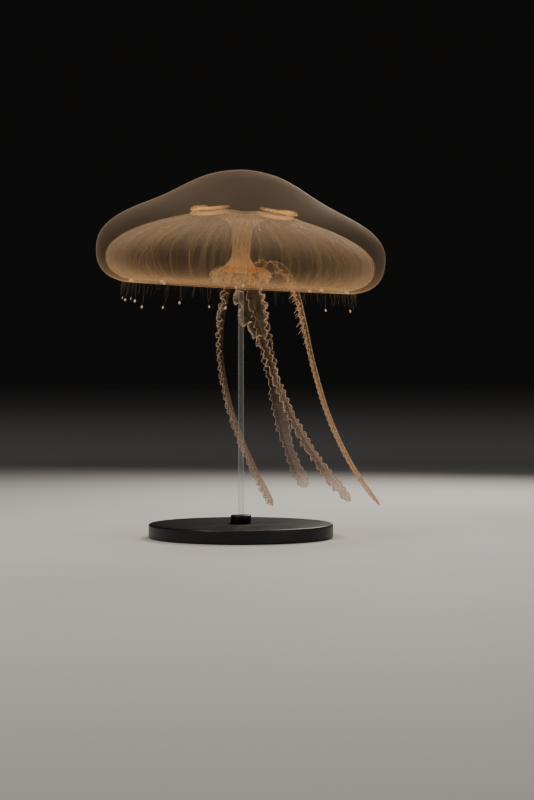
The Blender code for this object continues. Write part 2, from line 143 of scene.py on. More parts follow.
def skin_profile():
    """Radius and height along the whole skin, with the zone of each stretch."""
    quarter = math.pi / 2.0
    over = np.sin(np.linspace(0.0, quarter, 70)) * BELL_RADIUS
    outer = np.stack([over, dome_height(over)], axis=1)
    turn_in = np.linspace(0.0, quarter, 40)[1:]
    outer_curl = curl(turn_in, BELL_RADIUS, BULGE_HEIGHT, LIP_LIFT, OUTER_CURL_POWER)
    lip = np.array([[RIM_RADIUS - LIP_CORNER_REACH, LIP_LIFT + LIP_CORNER_HEIGHT],
                    [RIM_RADIUS - LIP_REACH, LIP_MIDDLE],
                    [RIM_RADIUS - LIP_CORNER_REACH, LIP_TOP - LIP_CORNER_HEIGHT]])
    turn_out = np.linspace(quarter, 0.0, 34)
    inner_curl = curl(turn_out, HOLLOW_RADIUS, HOLLOW_SHELF, LIP_TOP, INNER_CURL_POWER)
    back = np.sin(np.linspace(quarter, 0.0, 96)[1:]) * HOLLOW_RADIUS
    back = back[back > ROOF_ENDS]
    inner = np.stack([back, hollow_height(back)], axis=1)
    down = np.linspace(STALK_TOP + 3.0 * MM, STALK_FOOT + 1.6 * MM, 64)
    stalk = np.stack([stalk_radius(down), down], axis=1)
    foot = np.array([[10.6, 0.4], [9.6, 0.0], [6.0, 0.0], [2.5, 0.0], [0.0, 0.0]]) * MM
    foot = foot + [0.0, STALK_FOOT]
    stretches = [(outer, OUTSIDE), (outer_curl, OUTER_CURL), (lip, OUTER_CURL), (inner_curl, INNER_CURL),
                 (inner, ROOF), (stalk, STALK), (foot, STALK)]
    points = np.concatenate([stretch for stretch, zone in stretches])
    zones = np.concatenate([np.full(len(stretch), zone) for stretch, zone in stretches])
    return points, zones


def notch_share(angle):
    """1 in the middle of a notch between two lobes, and 0 away from it."""
    pitch = math.tau / LOBES
    off = (angle - SPIN + pitch / 2.0) % pitch - pitch / 2.0
    return np.exp(-(off / NOTCH_HALF_ANGLE) ** 2)


def shape_bell(places, zones):
    """Lean the shoulders, press in the pouches, draw in the notches and fold the stalk."""
    x, y, z = places.T
    radius = np.hypot(x, y)
    angle = np.arctan2(y, x)
    share = np.minimum(radius / BELL_RADIUS, 1.0)
    lean = SHOULDER_LEAN * x / BELL_RADIUS * 4.0 * share * (1.0 - share)
    z = z - np.where(zones == OUTSIDE, lean, 0.0)
    z = z + np.where(zones == ROOF, pouch_height(x, y) * POUCH_SHOWS, 0.0)
    near_lip = 1.0 - smooth_step(RIM_RADIUS, RIM_RADIUS + 4.0 * NOTCH_DEPTH, radius)
    at_margin = (zones == OUTER_CURL) | (zones == INNER_CURL)
    wider = NOTCH_DEPTH * near_lip * notch_share(angle) * at_margin
    corners = STALK_CORNERS * np.cos(4.0 * (angle - SPIN))
    folds = STALK_FOLDS * np.cos(16.0 * angle + z * 260.0)
    wider = wider + np.where(zones == STALK, radius * (corners + folds), 0.0)
    grow = 1.0 + wider / np.maximum(radius, 1e-6)
    return np.stack([x * grow, y * grow, z], axis=1)


def grid_faces(rows, columns, first, closed):
    """Quads of a grid of points, wrapped round from its last column to its first if closed."""
    across = columns if closed else columns - 1
    row = np.arange(rows - 1)[:, None] * columns
    here = np.arange(across)[None, :]
    there = (here + 1) % columns
    quads = np.stack([row + here, row + there, row + columns + there, row + columns + here], axis=2)
    return (quads.reshape(-1, 4) + first).tolist()


def end_caps(rows, sides, first=0):
    """The two faces that close a tube of points at its ends."""
    last = first + (rows - 1) * sides
    return [[first + i for i in range(sides)], [last + i for i in reversed(range(sides))]]


def turned(profile, sides):
    """Points and quads of a profile of radius and height, turned round the Z axis."""
    angles = np.arange(sides) * math.tau / sides
    radius, height = np.asarray(profile).T
    x = radius[:, None] * np.cos(angles)[None, :]
    y = radius[:, None] * np.sin(angles)[None, :]
    z = np.repeat(height[:, None], sides, axis=1)
    return np.stack([x, y, z], axis=2).reshape(-1, 3), grid_faces(len(profile), sides, 0, True)


def turned_skin():
    """The profile carried round the axis, closed by a fan at the crown and at the mouth."""
    points, zones = skin_profile()
    places, faces = turned(points[1:-1], BELL_COLUMNS)
    crown = len(places)
    mouth = crown + 1
    last_ring = crown - BELL_COLUMNS
    places = np.concatenate([places, [[0.0, 0.0, points[0][1]], [0.0, 0.0, points[-1][1]]]])
    all_zones = np.concatenate([np.repeat(zones[1:-1], BELL_COLUMNS), [zones[0], zones[-1]]])
    for i in range(BELL_COLUMNS):
        j = (i + 1) % BELL_COLUMNS
        faces.append([crown, j, i])
        faces.append([mouth, last_ring + i, last_ring + j])
    return shape_bell(places, all_zones), all_zones, faces


def new_piece(name, places, faces, material, pose=None):
    """A smooth mesh piece from points and faces, standing in the frame's own place."""
    mesh = bpy.data.meshes.new(name)
    mesh.from_pydata([tuple(place) for place in places], [], faces)
    if pose is not None:
        mesh.transform(pose)
    fixed = bmesh.new()
    fixed.from_mesh(mesh)
    bmesh.ops.recalc_face_normals(fixed, faces=fixed.faces)
    fixed.to_mesh(mesh)
    fixed.free()
    mesh.polygons.foreach_set("use_smooth", [True] * len(mesh.polygons))
    mesh.materials.append(material)
    piece = bpy.data.objects.new(name, mesh)
    bpy.context.scene.collection.objects.link(piece)
    return piece


def write_share(piece, name, values, kind="FLOAT", slot="value"):
    """Keep a number or a place for each point of a mesh, for its material to read."""
    layer = piece.data.attributes.new(name, kind, "POINT")
    layer.data.foreach_set(slot, np.asarray(values, dtype=np.float32).ravel())


def sign(operation, swap=False):
    """What one of Python's signs does to a wire: it adds a Math node."""
    return lambda wire, other: wire.math(operation, other, swap)


class Wire:
    """A shader socket that can be used in sums."""

    def __init__(self, tree, socket):
        self.tree = tree
        self.socket = socket

    def math(self, operation, other, swap):
        node = self.tree.nodes.new("ShaderNodeMath")
        node.operation = operation
        for slot, value in enumerate([other, self] if swap else [self, other]):
            if isinstance(value, Wire):
                self.tree.links.new(value.socket, node.inputs[slot])
            else:
                node.inputs[slot].default_value = value
        return Wire(self.tree, node.outputs[0])

    __add__ = sign("ADD")
    __radd__ = sign("ADD", True)
    __sub__ = sign("SUBTRACT")
    __rsub__ = sign("SUBTRACT", True)
    __mul__ = sign("MULTIPLY")
    __rmul__ = sign("MULTIPLY", True)
    __truediv__ = sign("DIVIDE")
    __rtruediv__ = sign("DIVIDE", True)
    __pow__ = sign("POWER")
    __rpow__ = sign("POWER", True)


class Finish:
    """A material being put together node by node."""

    def __init__(self, name):
        self.material = bpy.data.materials.new(name)
        self.material.use_nodes = True
        self.tree = self.material.node_tree
        self.tree.nodes.clear()

    def node(self, kind, values=None, output=0, **settings):
        """Add a node, set what it is, then give its sockets values or wires; None leaves one be."""
        made = self.tree.nodes.new("ShaderNode" + kind)
        for key, value in settings.items():
            setattr(made, key, value)
        for key, value in (values or {}).items():
            if isinstance(value, Wire):
                self.tree.links.new(value.socket, made.inputs[key])
            elif value is not None:
                made.inputs[key].default_value = value
        return Wire(self.tree, made.outputs[output]) if made.outputs else None

    def share(self, name):
        """A number kept on the mesh's points."""
        return self.node("Attribute", output=2, attribute_name=name)

    def mix_colour(self, amount, first, second):
        """Colour from first to second; either may be a plain colour."""
        values = {0: amount}
        for socket, colour in ((6, first), (7, second)):
            values[socket] = colour if isinstance(colour, Wire) else (*colour, 1.0)
        return self.node("Mix", values, output=2, data_type="RGBA")

    def shine(self, colour, bump):
        """Light of one colour that comes through from behind."""
        return self.node("BsdfTranslucent", {"Color": (*colour, 1.0), "Normal": bump})

    def layered(self, layers, bump=None):
        """Colours laid one over another, as a surface colour and as light that comes through.

        The first layer is a plain colour, and each later one says how much of it shows."""
        colour = layers[0]
        through = self.shine(colour, bump)
        for amount, over in layers[1:]:
            colour = self.mix_colour(amount, colour, over)
            through = self.node("MixShader", {0: amount, 1: through, 2: self.shine(over, bump)})
        return colour, through

    def place(self):
        """The place on the piece, in metres, for patterns that stay fixed to it."""
        return self.node("TexCoord", output=3)

    def noise(self, scale, detail, roughness, place=None):
        """Soft, uneven patches, about scale of them to each unit of the place."""
        return self.node("TexNoise", {"Vector": place or self.place(), "Scale": scale,
                                      "Detail": detail, "Roughness": roughness})

    def bump(self, strength, rise, height):
        """Fine relief that stands up by the rise at most."""
        return self.node("Bump", {"Strength": strength, "Distance": rise, "Height": height})

    def edge_on(self, blend=0.5):
        """0 where the surface faces the viewer, and 1 where it is seen edge on."""
        return self.node("LayerWeight", {"Blend": blend}, output=1)

    def round_axis(self, name, fineness, stretch):
        """Streaks that run out from the axis, read from the upright place kept on the points."""
        place = self.node("Attribute", output=1, attribute_name=name)
        x, y = (self.node("SeparateXYZ", {0: place}, axis) for axis in range(2))
        radius = (x * x + y * y + 1e-7) ** 0.5
        values = {0: x / radius * fineness, 1: y / radius * fineness, 2: radius * stretch}
        return self.node("CombineXYZ", values)

    def limit(self, value):
        """A number held between 0 and 1."""
        return self.node("Clamp", {0: value})

    def show(self, surface):
        self.node("OutputMaterial", {"Surface": surface})
        return self.material

    def show_part(self, shows, surface, tint):
        """Show a surface only in part; the rest is clear, and the tint is what it lets through."""
        clear = self.node("BsdfTransparent", {"Color": (*tint, 1.0)})
        return self.show(self.node("MixShader", {0: shows, 1: clear, 2: surface}))


# How much red, green and blue one skin of jelly lets through where it is clear.
JELLY_TINT = (0.966, 0.933, 0.887)


def flesh(finish, layers, opacity, glow=0.5, roughness=0.48, wet=0.04, bump=None):
    """See-through flesh: part tinted clear, part lit surface and part light that comes through."""
    colour, through = finish.layered(layers, bump)
    lit = finish.node("BsdfPrincipled", {
        "Base Color": colour, "Roughness": roughness, "IOR": 1.20, "Specular IOR Level": 0.2,
        "Coat Weight": wet, "Coat Roughness": 0.12, "Coat IOR": 1.33, "Normal": bump})
    body = finish.node("MixShader", {0: glow, 1: lit, 2: through})
    return finish.show_part(opacity, body, JELLY_TINT)


def jelly_finish():
    """Amber jelly: nearly clear outside and denser on the crown, round the rim and edge on.

    Inside, streaks run down the hollow, and the stalk, mouth and lip are the densest."""
    finish = Finish("amber_jelly")
    cloud = finish.noise(38.0, 4.0, 0.55)
    grain = finish.noise(750.0, 2.0, 0.7)
    broad_rays = finish.noise(1.0, 3.0, 0.62, finish.round_axis("upright", 22.0, 22.0))
    thin_rays = finish.noise(1.0, 2.0, 0.55, finish.round_axis("upright", 60.0, 12.0))
    beads = finish.limit((finish.noise(480.0, 1.0, 0.5) - 0.40) * 5.0)
    wide = finish.limit((broad_rays - 0.44) * 4.0)
    fine = finish.limit((thin_rays - 0.50) * 8.0) * (0.35 + beads * 0.65)
    zones = ("inner", "crown", "margin", "lip", "stalk", "mouth", "ceiling")
    inner, crown, margin, lip, stalk, mouth, ceiling = (finish.share(zone) for zone in zones)
    edge_on = finish.edge_on()
    streaks = fine * 0.6 + wide * 0.4
    amber = [(0.63, 0.49, 0.38), (cloud, (0.77, 0.61, 0.48)),
             (finish.limit(inner * (0.35 + streaks * 0.65)), (0.96, 0.76, 0.57)),
             (finish.limit(margin), (0.90, 0.65, 0.42)),
             (finish.limit(lip + mouth + ceiling * 0.5), (0.98, 0.72, 0.46))]
    opacity = 0.036 + crown * 0.038 + (cloud - 0.5) * 0.04 + (grain - 0.5) * 0.04
    opacity = opacity + inner * (streaks * 0.15 - 0.012) + margin ** 2.0 * 0.02 + lip * 0.11
    opacity = opacity + stalk * 0.14 + mouth * 0.17 + ceiling * 0.045
    outside = edge_on ** 2.1 * 0.14 * (1.0 - inner)
    inside = 0.21 - stalk * 0.09 - ceiling * 0.09
    inside = finish.limit(edge_on * 1.5 - 0.12) ** 1.7 * inner * inside
    outline = edge_on ** 14.0 * 0.30 * (1.0 - inner * 0.8)
    opacity = finish.limit(opacity + (outside + inside) + outline)
    return flesh(finish, amber, opacity, glow=0.55, bump=finish.bump(0.08, 0.4 * MM, grain))


bell_places, bell_zones, bell_faces = turned_skin()
skin = new_piece("jelly_skin", bell_places, bell_faces, jelly_finish(), BELL_POSE)
bell_x, bell_y, bell_z = bell_places.T
on_stalk = bell_zones == STALK
near_rim = np.where(on_stalk, 0.0, 1.0 - smooth_step(2.0 * MM, 30.0 * MM, bell_z))
lip_line = np.exp(-((np.hypot(bell_x, bell_y) - RIM_RADIUS) / (5.0 * MM)) ** 2)
write_share(skin, "inner", on_stalk | (bell_zones == ROOF) | (bell_zones == INNER_CURL))
write_share(skin, "margin", near_rim)
write_share(skin, "lip", lip_line * near_rim)
for share_name, there, low, high, upwards in (("stalk", on_stalk, 50.0, 64.0, False),
                                              ("mouth", on_stalk, 20.0, 46.0, False),
                                              ("crown", bell_zones == OUTSIDE, 52.0, 88.0, True),
                                              ("ceiling", bell_zones == ROOF, 56.0, 66.0, True)):
    rising = smooth_step(low * MM, high * MM, bell_z)
    write_share(skin, share_name, np.where(there, rising if upwards else 1.0 - rising, 0.0))
write_share(skin, "upright", bell_places, "FLOAT_VECTOR", "vector")


# --------------------------------------------------
# Oral arms: four long folded ribbons of thin tissue that hang from the corners of the mouth.
# Each is a see-through gutter between two ruffled edges, which are thickened into a pale cord
# and carry rows of tiny fingers.  At the top they join in a ruffled lip round the mouth.

# root, leave, arrive and tip lay out an arm's course, in millimetres, and its gutter opens
# towards facing.  leaf is the width of its sides near the mouth, lower down and at the tip, and
# open their angle near the mouth and lower down.  Each edge has the wave length of its ruffles,
# their size and the length of its fingers, each near the mouth and near the tip; fades says
# between which shares of the arm they change.  keel is how stout the keel is, cord the radius of
# the thickened edges, warmth how orange the arm is and strength how milky.
ARMS = {
    "left": dict(root=(-6.0, -2.5, 231.0), leave=(-37.0, -14.0, 154.0),
                 arrive=(0.0, -15.0, 79.0), tip=(27.5, -12.0, 28.0),
                 facing=(-1.0, -0.35, 0.0), leaf=(7.0, 4.5, 7.0), open=(38.0, 30.0),
                 edges={1: (9.0, 6.5, 1.7, 0.9, 0.9, 0.6), -1: (8.0, 6.0, 2.4, 1.0, 1.2, 0.8)},
                 keel=0.25, cord=0.36, warmth=0.10, strength=0.62, fades=(0.12, 0.40)),
    "front": dict(root=(2.0, -6.5, 231.0), leave=(30.0, -30.0, 132.0),
                  arrive=(42.0, -27.0, 90.0), tip=(94.0, -24.0, 33.0),
                  facing=(-0.25, -1.0, 0.0), leaf=(14.0, 3.8, 7.5), open=(60.0, 32.0),
                  edges={1: (15.0, 8.0, 4.2, 1.2, 0.9, 0.9), -1: (8.0, 6.5, 2.0, 1.0, 1.6, 0.8)},
                  keel=0.30, cord=0.48, warmth=0.30, strength=0.85, fades=(0.14, 0.34)),
    "back": dict(root=(3.5, 6.5, 231.0), leave=(27.0, 28.0, 175.0),
                 arrive=(30.0, 32.0, 76.0), tip=(58.0, 27.0, 42.0),
                 facing=(0.2, -1.0, 0.0), leaf=(9.5, 8.0, 6.5), open=(42.0, 45.0),
                 edges={1: (9.0, 7.0, 1.6, 1.1, 0.8, 0.6), -1: (9.0, 7.0, 1.6, 1.1, 0.8, 0.6)},
                 keel=0.15, cord=0.32, warmth=0.05, strength=0.55, fades=(0.14, 0.48)),
    "right": dict(root=(7.0, 1.0, 230.0), leave=(74.0, 5.0, 266.0),
                  arrive=(32.0, 6.0, 132.0), tip=(121.0, 4.0, 27.5),
                  facing=(-1.0, -0.3, -0.2), leaf=(12.0, 5.2, 4.0), open=(26.0, 26.0),
                  edges={1: (6.0, 5.0, 1.0, 0.4, 1.2, 0.6), -1: (6.5, 5.0, 1.5, 0.5, 5.4, 0.9)},
                  keel=0.95, cord=0.45, warmth=1.0, strength=1.0, fades=(0.44, 0.62)),
}
ARM_TOP = 231.0 * MM
ARM_DROP = 203.0 * MM
ARM_ROWS = 720
ARM_COLUMNS = 25
ARM_SKIN = 0.5 * MM
GUTTER_CLOSES = 0.18
GUTTER_ROUND = 0.012
KEEL_CORD = 0.85 * MM
FINGER_STEP = 1.7 * MM
FINGER_TAPER = np.array([1.0, 0.9, 0.8, 0.72, 0.75, 0.3])
CORD_BEAD = 2.3 * MM
CORD_SIDES = 8
FINGER_SIDES = 5


def unit(vectors):
    return vectors / np.linalg.norm(vectors, axis=-1, keepdims=True)


def distance_along(course):
    """How far each point of a course is from its start."""
    return np.concatenate([[0.0], np.cumsum(np.linalg.norm(np.diff(course, axis=0), axis=1))])


def arm_course(arm, t):
    """Centre line, direction and distance along an arm."""
    a, b, c, d = (np.array(arm[key]) * MM for key in ("root", "leave", "arrive", "tip"))
    t = t[:, None]
    u = 1.0 - t
    course = a * u ** 3 + b * 3.0 * u * u * t + c * 3.0 * u * t * t + d * t ** 3
    along = unit((b - a) * u * u + (c - b) * 2.0 * u * t + (d - c) * t * t)
    return course, along, distance_along(course)


def below_mouth(at_mouth, lower, t):
    """A number that soon leaves its value at the mouth for the value lower down."""
    return lower + (at_mouth - lower) / (1.0 + (t / GUTTER_CLOSES) ** 6)


def leaf_width(arm, t):
    at_mouth, half_way, at_tip = (width * MM for width in arm["leaf"])
    wide = below_mouth(at_mouth, half_way + (at_tip - half_way) * t, t)
    root_taper = 0.45 + 0.55 * smooth_step(0.0, 0.09, t)
    tip_taper = np.sqrt(np.clip(1.0 - smooth_step(0.955, 1.0, t) ** 2 * 0.97, 0.0, 1.0))
    return wide * root_taper * tip_taper


def wandering(chance, t, waves, size):
    """A slow, uneven drift along a fold, so that no two ruffles are alike."""
    total = np.zeros_like(t)
    for _ in range(5):
        total += np.sin(math.tau * waves * chance.uniform(0.5, 1.6) * t + chance.uniform(0.0, math.tau))
    return total * size / 2.2


def fade(arm, near_mouth, near_tip, t):
    """A number that goes from its value near the mouth to its value near the tip."""
    return near_tip + (near_mouth - near_tip) * (1.0 - smooth_step(*arm["fades"], t))


def arm_ribbon(arm, chance):
    """Points of one arm's folded sheet, and how near each is to a ruffled edge."""
    t = np.linspace(0.0, 1.0, ARM_ROWS)
    side = np.linspace(-1.0, 1.0, ARM_COLUMNS)
    course, along, travelled = arm_course(arm, t)
    facing = np.array(arm["facing"])
    facing = unit(facing - along * (along @ facing)[:, None])
    across = np.cross(along, facing)
    half_angle = below_mouth(*(math.radians(angle) for angle in arm["open"]), t)
    half_angle = half_angle + wandering(chance, t, 5.0, 0.10)
    leaf = leaf_width(arm, t)
    ruffles = {}
    for hand, (long_wave, short_wave, large, small, _, _) in arm["edges"].items():
        pitch = fade(arm, long_wave, short_wave, t) * MM
        turns = np.concatenate([[0.0], np.cumsum(np.diff(travelled) / pitch[1:])])
        phase = math.tau * turns + wandering(chance, t, 14.0, 0.9) + chance.uniform(0.0, math.tau)
        size = fade(arm, large, small, t) * MM * smooth_step(0.0, 0.05, t)
        size = size * (1.0 - 0.7 * smooth_step(0.93, 1.0, t))
        ruffles[hand] = (phase, size * (1.0 + wandering(chance, t, 9.0, 0.30)))
    places = np.zeros((ARM_ROWS, ARM_COLUMNS, 3))
    lean = half_angle[:, None]
    middle = facing * (leaf * np.cos(half_angle) / 2.0)[:, None]
    for column, s in enumerate(side):
        hand = 1 if s > 0.0 else -1
        fold = math.sqrt(s * s + GUTTER_ROUND) - math.sqrt(GUTTER_ROUND)
        out = across * np.sin(lean) * s + facing * np.cos(lean) * fold
        outward = across * np.sin(lean) * hand + facing * np.cos(lean)
        bend = across * np.cos(lean) - facing * np.sin(lean) * hand
        phase, size = ruffles[hand]
        size = size * abs(s) ** 2.4
        lengthways = 0.32 * np.sin(2.0 * phase) + 0.42 * np.sin(phase + 0.4)
        row = course - middle + out * leaf[:, None]
        row = row + bend * (np.sin(phase) * size)[:, None]
        row = row + outward * (np.cos(phase) * size * 0.80)[:, None]
        row = row + along * (lengthways * size)[:, None]
        places[:, column] = row
    return places, np.repeat(np.abs(side)[None, :], ARM_ROWS, axis=0)


def carried_frames(along):
    """Two directions across a path, carried along it without twisting."""
    current = np.array([1.0, 0.0, 0.0] if abs(along[0][0]) < 0.8 else [0.0, 1.0, 0.0])
    first = np.zeros_like(along)
    for i, way in enumerate(along):
        current = current - way * float(way @ current)
        current = current / max(float(np.linalg.norm(current)), 1e-9)
        first[i] = current
    return first, np.cross(along, first)


def tube_mesh(runs, sides):
    """Closed tubes: each run is a list of places and a list of radii."""
    places = []
    faces = []
    turn = np.arange(sides) * math.tau / sides
    total = 0
    for course, radii in runs:
        course = np.asarray(course)
        first, second = carried_frames(unit(np.gradient(course, axis=0) + 1e-12))
        ring = np.cos(turn)[None, :, None] * first[:, None, :]
        ring = ring + np.sin(turn)[None, :, None] * second[:, None, :]
        places.append((course[:, None, :] + ring * np.asarray(radii)[:, None, None]).reshape(-1, 3))
        faces += grid_faces(len(course), sides, total, True) + end_caps(len(course), sides, total)
        total += len(course) * sides
    return np.concatenate(places), faces


def round_ends(count, blunt):
    """A share for the radius along a cord that closes it roundly at both ends."""
    share = np.linspace(-1.0, 1.0, count)
    return np.sqrt(np.clip(1.0 - np.abs(share) ** blunt, 0.01, 1.0))


def arm_cords(arm, sheet, chance):
    """The thickened edges and keel of an arm, then the fingers along its edges."""
    t = np.linspace(0.0, 1.0, ARM_ROWS)
    ends = round_ends(ARM_ROWS, 120.0)
    keel_size = KEEL_CORD * (0.55 + 0.45 * arm["keel"]) * (1.0 - 0.55 * t)
    cords = [(sheet[:, ARM_COLUMNS // 2], keel_size * ends, arm["keel"])]
    fingers = []
    for hand, (_, _, _, _, long_finger, short_finger) in arm["edges"].items():
        column, inner = (ARM_COLUMNS - 1, ARM_COLUMNS - 5) if hand > 0 else (0, 4)
        edge = sheet[:, column]
        travelled = distance_along(edge)
        beads = 1.0 + 0.22 * np.sin(travelled * math.tau / CORD_BEAD) + wandering(chance, t, 20.0, 0.12)
        cords.append((edge, arm["cord"] * MM * (1.0 - 0.5 * t) * beads * ends, 1.0))
        outward = unit(edge - sheet[:, inner])
        spot = 1.5 * MM
        while spot < travelled[-1] - 1.0 * MM:
            i = int(np.searchsorted(travelled, spot))
            reach = float(fade(arm, long_finger, short_finger, t[i]))
            length = reach * MM * chance.uniform(0.5, 1.2)
            stray = 0.45 if reach < 2.0 else 0.18
            way = outward[i] + np.array([chance.uniform(-stray, stray) for _ in range(3)])
            way = way / np.linalg.norm(way)
            share = np.linspace(0.0, 1.0, len(FINGER_TAPER))
            curve = np.outer(share ** 2, np.array([0.0, 0.0, -0.35 * length]))
            course = edge[i] + np.outer(share, way * length) + curve
            thick = (0.24 + 0.035 * reach) * MM
            fingers.append((course, thick * FINGER_TAPER, 1.0))
            spot += (FINGER_STEP + 0.25 * reach * MM) * chance.uniform(0.7, 1.3)
    return cords, fingers


def mouth_lip():
    """Points, faces and edge of the ruffled lip with four corners, where the arms begin."""
    chance = random.Random(8)
    rows, columns = 16, 600
    share = np.linspace(0.0, 1.0, rows)[:, None]
    angle = (np.arange(columns) * math.tau / columns)[None, :]
    corner = 0.5 + 0.5 * np.cos(4.0 * (angle - SPIN))
    ragged = wandering(chance, angle / math.tau, 9.0, 2.6)
    reach = 9.5 * MM + share * (7.0 + 8.0 * corner + ragged) * MM
    wave = 22.0 * angle + 1.6 * np.sin(5.0 * angle)
    ruffle = np.sin(wave) + 0.5 * np.sin(47.0 * angle + 2.0)
    ruffle = ruffle + wandering(chance, angle / math.tau, 6.0, 0.3)
    size = 3.6 * MM * share ** 1.4
    radius = reach + size * 0.7 * np.cos(wave)
    height = 19.0 * MM + 6.0 * MM * share * (1.0 - share) - 8.0 * MM * share ** 2 + size * ruffle
    places = np.stack([radius * np.cos(angle), radius * np.sin(angle), height], axis=2)
    edge = 0.55 + 0.45 * np.repeat(share, columns, axis=1)
    return places.reshape(-1, 3), grid_faces(rows, columns, 0, True), edge.ravel()


def arm_finish():
    """Peach tissue: nearly clear in the gutter, milky and bright along the ruffled edges."""
    finish = Finish("arm_tissue")
    shares = ("edge", "down", "warmth", "strength")
    edge, down, warmth, strength = (finish.share(share) for share in shares)
    cloud = finish.noise(170.0, 4.0, 0.62)
    fleck = finish.noise(900.0, 2.0, 0.6)
    broken = finish.limit((finish.noise(330.0, 2.0, 0.5) - 0.42) * 6.0)
    frill = finish.limit(edge ** 9.0) * (0.35 + broken * 0.65) * (1.0 - down * 0.45)
    peach = [(0.68, 0.55, 0.47), (frill, (0.95, 0.86, 0.79)),
             (finish.limit(down * 0.55), (0.74, 0.59, 0.55)),
             (finish.limit(warmth * 0.75), (0.97, 0.76, 0.58))]
    gutter = (0.07 + (cloud - 0.5) * 0.28 + finish.edge_on() ** 2.0 * 0.12) * strength
    opacity = gutter + frill * 0.66 + (fleck - 0.5) * 0.08 + finish.limit(down * 1.6 - 0.6) * 0.32
    near_mouth = 0.30 + finish.limit(down * 8.0) * 0.70
    opacity = finish.limit(opacity) * strength * near_mouth
    return flesh(finish, peach, opacity, glow=0.5, roughness=0.42)


arm_material = arm_finish()
arms = []


def arm_piece(name, places, faces, edge, warmth, strength, pose=None):
    """A piece of arm tissue, with the numbers that its finish reads.

    edge is 1 at a ruffled edge, and down goes from 0 at the mouth to 1 at the lowest tip."""
    piece = new_piece(name, places, faces, arm_material, pose)
    heights = np.array([point.co.z for point in piece.data.vertices])
    write_share(piece, "edge", edge)
    write_share(piece, "down", np.clip((ARM_TOP - heights) / ARM_DROP, 0.0, 1.0))
    write_share(piece, "warmth", np.full(len(places), warmth))
    write_share(piece, "strength", np.full(len(places), strength))
    arms.append(piece)
    return piece


def give_thickness(piece, thickness):
    solid = piece.modifiers.new("Thickness", "SOLIDIFY")
    solid.thickness = thickness
    solid.offset = 0.0


for arm_name, arm in ARMS.items():
    chance = random.Random(arm_name)
    sheet, edge = arm_ribbon(arm, chance)
    faces = grid_faces(ARM_ROWS, ARM_COLUMNS, 0, False)
    look = (arm["warmth"], arm["strength"])
    ribbon = arm_piece("arm_" + arm_name, sheet.reshape(-1, 3), faces, edge.ravel(), *look)
    give_thickness(ribbon, ARM_SKIN)
    cords, fingers = arm_cords(arm, sheet, chance)
    for cord_name, runs, sides in (("cords", cords, CORD_SIDES), ("fingers", fingers, FINGER_SIDES)):
        places, faces = tube_mesh([run[:2] for run in runs], sides)
        edge = np.concatenate([np.full(len(run[1]) * sides, run[2]) for run in runs])
        arm_piece(f"arm_{arm_name}_{cord_name}", places, faces, edge, *look)

lip = arm_piece("mouth_lip", *mouth_lip(), 0.90, 1.30, BELL_POSE)
give_thickness(lip, ARM_SKIN)


def set_in_mesh(piece):
    """Fix what the modifiers make into the mesh itself."""
    depsgraph = bpy.context.evaluated_depsgraph_get()
    made = bpy.data.meshes.new_from_object(piece.evaluated_get(depsgraph))
    piece.modifiers.clear()
    piece.data = made


def join_into(body, others):
    """Make several pieces one mesh."""
    with bpy.context.temp_override(active_object=body, selected_editable_objects=[body] + others):
        bpy.ops.object.join()


bpy.context.view_layer.update()
for ribbon in arms:
    set_in_mesh(ribbon)
join_into(skin, arms)


# --------------------------------------------------
# Tentacles: short hair-like feelers that hang from just inside the lobes, a few of them long
# with a bright bead at the end, and a sense club in each notch.  They grow out of the skin.

TENTACLE_RING = 101.0 * MM
TENTACLE_SHORTEST = 9.0 * MM
TENTACLE_LONGEST = 22.0 * MM
TENTACLE_SIDES = 8
THREAD_RINGS = 9
LONG_THREAD = 0.24 * MM
FINE_THREAD = 0.11 * MM
THREAD_START = 0.75 * LIP_THICKNESS
THREAD_BRIGHT = 0.25
LONG_TO_A_LOBE = 5
FINE_TENTACLES = 150
BEAD_RADIUS = 0.95 * MM
BEAD_HALF_LENGTH = 1.1 * MM
CLUB_RINGS = 13
CLUB_SIDES = 14
CLUB_RADIUS = 1.3 * MM
CLUB_LENGTH = 4.4 * MM
CLUB_INSET = 6.0 * MM


def tentacle_run(angle, ring, length, sway, thick, bead):
    """Course, radii and brightness of one feeler; bead is the radius of the bead at its tip."""
    outward = np.array([math.cos(angle), math.sin(angle), 0.0])
    sideways = np.array([-math.sin(angle), math.cos(angle), 0.0])
    start = outward * ring + np.array([0.0, 0.0, LIP_LIFT + THREAD_START])
    # Wide steps down the thread, then close ones round the bead.
    share = np.concatenate([np.linspace(0.0, 1.0 - 2.4 * MM / length, THREAD_RINGS),
                            1.0 - np.linspace(2.1, 0.0, THREAD_RINGS) * MM / length])
    radii = thick * (1.0 - 0.35 * share)
    if bead > 0.0:
        past = (share - (1.0 - BEAD_HALF_LENGTH / length)) * length / BEAD_HALF_LENGTH
        radii = np.maximum(radii, bead * np.sqrt(np.clip(1.0 - past ** 2, 0.0, 1.0)))
        radii[-1] = 0.15 * bead
    bend = share * share * length
    drop = share * (length + THREAD_START)
    course = start + outward * (0.16 * bend)[:, None] + sideways * (sway * bend)[:, None]
    course[:, 2] -= drop
    tip_bright = THREAD_BRIGHT + (1.0 - THREAD_BRIGHT) * bead / BEAD_RADIUS
    return course, radii, np.repeat([THREAD_BRIGHT, tip_bright], THREAD_RINGS)


